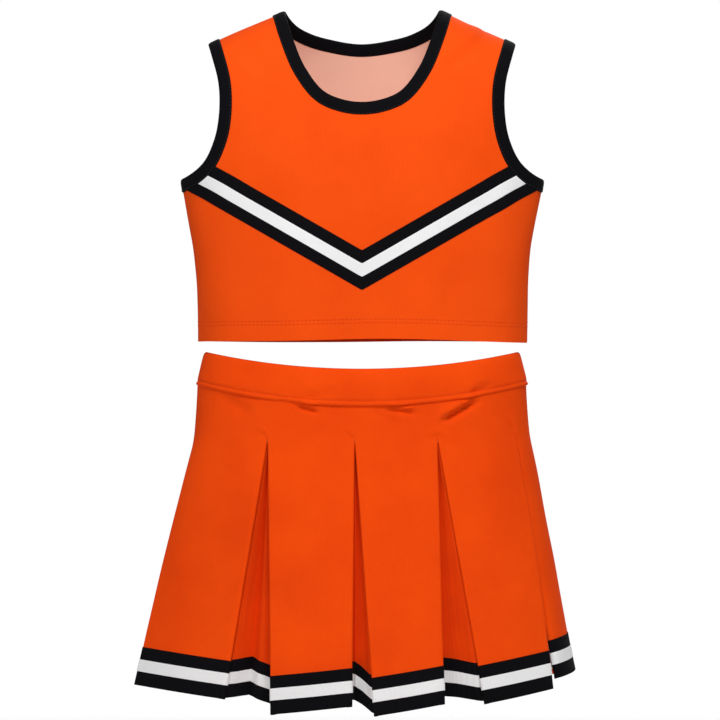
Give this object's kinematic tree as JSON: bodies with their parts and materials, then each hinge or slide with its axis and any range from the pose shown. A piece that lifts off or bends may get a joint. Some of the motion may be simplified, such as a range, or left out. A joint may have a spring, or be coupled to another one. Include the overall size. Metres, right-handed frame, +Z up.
{
  "type": "cheer uniform",
  "caption": "Two-piece sleeveless cheer uniform: cropped shell top with bound neck and armholes and a chest chevron, and a flared pleated skirt with striped hem.",
  "frame": {"origin": "centre of the skirt's waist opening, level with the waistband's top edge at the centre front", "axes": "+Z up towards the shoulders, -Y towards the garment's front, +X towards the viewer's right when facing the front (the wearer's left)"},
  "size_m": [0.4041, 0.2104, 0.6336],
  "materials": {
    "orange_knit_top": "matte",
    "orange_knit_skirt": "matte",
    "black_binding": "matte",
    "black_tape": "matte",
    "white_tape": "matte",
    "elastic": "matte",
    "orange_thread": "satin"
  },
  "bodies": {
    "skirt_waist": {"waistband": "orange_knit_skirt", "waist_elastic": "elastic", "skirt_yoke": "orange_knit_skirt", "waist_seam_stitching": "orange_thread"},
    "top": {"top_front_panel": "orange_knit_top", "top_back_panel": "orange_knit_top", "neck_binding": "black_binding", "armhole_binding_left": "black_binding", "armhole_binding_right": "black_binding", "chevron_black_tape": "black_tape", "chevron_white_tape": "white_tape", "top_hem_turn_up": "orange_knit_top", "top_hem_stitching": "orange_thread"},
    "pleat_1": {"panel_1": "orange_knit_skirt", "panel_1_black_tape": "black_tape", "panel_1_white_tape": "white_tape"},
    "pleat_2": {"panel_2": "orange_knit_skirt", "panel_2_black_tape": "black_tape", "panel_2_white_tape": "white_tape"},
    "pleat_3": {"panel_3": "orange_knit_skirt", "panel_3_black_tape": "black_tape", "panel_3_white_tape": "white_tape"},
    "pleat_4": {"panel_4": "orange_knit_skirt", "panel_4_black_tape": "black_tape", "panel_4_white_tape": "white_tape"},
    "pleat_5": {"panel_5": "orange_knit_skirt", "panel_5_black_tape": "black_tape", "panel_5_white_tape": "white_tape"},
    "pleat_6": {"panel_6": "orange_knit_skirt", "panel_6_black_tape": "black_tape", "panel_6_white_tape": "white_tape"},
    "pleat_7": {"panel_7": "orange_knit_skirt", "panel_7_black_tape": "black_tape", "panel_7_white_tape": "white_tape"},
    "pleat_8": {"panel_8": "orange_knit_skirt", "panel_8_black_tape": "black_tape", "panel_8_white_tape": "white_tape"},
    "pleat_9": {"panel_9": "orange_knit_skirt", "panel_9_black_tape": "black_tape", "panel_9_white_tape": "white_tape"},
    "inset_1": {"underlay_1": "orange_knit_skirt", "underlay_1_tape": "black_tape"},
    "inset_2": {"underlay_2": "orange_knit_skirt", "underlay_2_tape": "black_tape"},
    "inset_3": {"underlay_3": "orange_knit_skirt", "underlay_3_tape": "black_tape"},
    "inset_4": {"underlay_4": "orange_knit_skirt", "underlay_4_tape": "black_tape"},
    "inset_5": {"underlay_5": "orange_knit_skirt", "underlay_5_tape": "black_tape"},
    "inset_6": {"underlay_6": "orange_knit_skirt", "underlay_6_tape": "black_tape"},
    "inset_7": {"underlay_7": "orange_knit_skirt", "underlay_7_tape": "black_tape"},
    "inset_8": {"underlay_8": "orange_knit_skirt", "underlay_8_tape": "black_tape"},
    "inset_9": {"underlay_9": "orange_knit_skirt", "underlay_9_tape": "black_tape"}
  },
  "joints": [
    {"name": "top_lift", "type": "slide", "parent": "skirt_waist", "child": "top", "axis": [0, 0, 1], "range_m": [0, 0.35]},
    {"name": "pleat_1_flare", "type": "hinge", "parent": "skirt_waist", "child": "pleat_1", "pos_m": [-0.15142, -0.00593, -0.06], "axis": [-0.7964, 0.6048, 0], "range_deg": [0, 12]},
    {"name": "pleat_2_flare", "type": "hinge", "parent": "skirt_waist", "child": "pleat_2", "pos_m": [-0.085, -0.05638, -0.06], "axis": [-0.9893, 0.1459, 0], "range_deg": [0, 12]},
    {"name": "pleat_3_flare", "type": "hinge", "parent": "skirt_waist", "child": "pleat_3", "pos_m": [-0.00663, -0.06793, -0.06], "axis": [-0.9955, -0.0947, 0], "range_deg": [0, 12]},
    {"name": "pleat_4_flare", "type": "hinge", "parent": "skirt_waist", "child": "pleat_4", "pos_m": [0.06782, -0.06086, -0.06], "axis": [-0.9031, -0.4295, 0], "range_deg": [0, 12]},
    {"name": "pleat_5_flare", "type": "hinge", "parent": "skirt_waist", "child": "pleat_5", "pos_m": [0.13992, -0.02657, -0.06], "axis": [0.2202, -0.9755, 0], "range_deg": [0, 12]},
    {"name": "pleat_6_flare", "type": "hinge", "parent": "skirt_waist", "child": "pleat_6", "pos_m": [0.12522, 0.03855, -0.06], "axis": [0.9456, -0.3255, 0], "range_deg": [0, 12]},
    {"name": "pleat_7_flare", "type": "hinge", "parent": "skirt_waist", "child": "pleat_7", "pos_m": [0.05119, 0.06403, -0.06], "axis": [0.9993, -0.0363, 0], "range_deg": [0, 12]},
    {"name": "pleat_8_flare", "type": "hinge", "parent": "skirt_waist", "child": "pleat_8", "pos_m": [-0.02741, 0.06689, -0.06], "axis": [0.9754, 0.2203, 0], "range_deg": [0, 12]},
    {"name": "pleat_9_flare", "type": "hinge", "parent": "skirt_waist", "child": "pleat_9", "pos_m": [-0.104, 0.04959, -0.06], "axis": [0.6495, 0.7604, 0], "range_deg": [0, 12]},
    {"name": "inset_1_flare", "type": "hinge", "parent": "skirt_waist", "child": "inset_1", "pos_m": [-0.14695, -0.00545, -0.06], "axis": [-0.107, 0.9943, 0], "range_deg": [0, 12]},
    {"name": "inset_2_flare", "type": "hinge", "parent": "skirt_waist", "child": "inset_2", "pos_m": [-0.08325, -0.05223, -0.06], "axis": [-0.9218, 0.3876, 0], "range_deg": [0, 12]},
    {"name": "inset_3_flare", "type": "hinge", "parent": "skirt_waist", "child": "inset_3", "pos_m": [-0.00651, -0.06344, -0.06], "axis": [-0.9997, 0.0258, 0], "range_deg": [0, 12]},
    {"name": "inset_4_flare", "type": "hinge", "parent": "skirt_waist", "child": "inset_4", "pos_m": [0.06663, -0.05652, -0.06], "axis": [-0.9639, -0.2661, 0], "range_deg": [0, 12]},
    {"name": "inset_5_flare", "type": "hinge", "parent": "skirt_waist", "child": "inset_5", "pos_m": [0.13587, -0.0246, -0.06], "axis": [-0.4372, -0.8994, 0], "range_deg": [0, 12]},
    {"name": "inset_6_flare", "type": "hinge", "parent": "skirt_waist", "child": "inset_6", "pos_m": [0.12187, 0.03554, -0.06], "axis": [0.6673, -0.7447, 0], "range_deg": [0, 12]},
    {"name": "inset_7_flare", "type": "hinge", "parent": "skirt_waist", "child": "inset_7", "pos_m": [0.05036, 0.0596, -0.06], "axis": [0.9831, -0.1829, 0], "range_deg": [0, 12]},
    {"name": "inset_8_flare", "type": "hinge", "parent": "skirt_waist", "child": "inset_8", "pos_m": [-0.02699, 0.0624, -0.06], "axis": [0.9957, 0.0927, 0], "range_deg": [0, 12]},
    {"name": "inset_9_flare", "type": "hinge", "parent": "skirt_waist", "child": "inset_9", "pos_m": [-0.10168, 0.04574, -0.06], "axis": [0.8562, 0.5167, 0], "range_deg": [0, 12]}
  ],
  "couplings": [
    {"joint": "pleat_2_flare", "follows": "pleat_1_flare", "ratio": 1},
    {"joint": "pleat_3_flare", "follows": "pleat_1_flare", "ratio": 1},
    {"joint": "pleat_4_flare", "follows": "pleat_1_flare", "ratio": 1},
    {"joint": "pleat_5_flare", "follows": "pleat_1_flare", "ratio": 1},
    {"joint": "pleat_6_flare", "follows": "pleat_1_flare", "ratio": 1},
    {"joint": "pleat_7_flare", "follows": "pleat_1_flare", "ratio": 1},
    {"joint": "pleat_8_flare", "follows": "pleat_1_flare", "ratio": 1},
    {"joint": "pleat_9_flare", "follows": "pleat_1_flare", "ratio": 1},
    {"joint": "inset_1_flare", "follows": "pleat_1_flare", "ratio": 1},
    {"joint": "inset_2_flare", "follows": "pleat_1_flare", "ratio": 1},
    {"joint": "inset_3_flare", "follows": "pleat_1_flare", "ratio": 1},
    {"joint": "inset_4_flare", "follows": "pleat_1_flare", "ratio": 1},
    {"joint": "inset_5_flare", "follows": "pleat_1_flare", "ratio": 1},
    {"joint": "inset_6_flare", "follows": "pleat_1_flare", "ratio": 1},
    {"joint": "inset_7_flare", "follows": "pleat_1_flare", "ratio": 1},
    {"joint": "inset_8_flare", "follows": "pleat_1_flare", "ratio": 1},
    {"joint": "inset_9_flare", "follows": "pleat_1_flare", "ratio": 1}
  ]
}
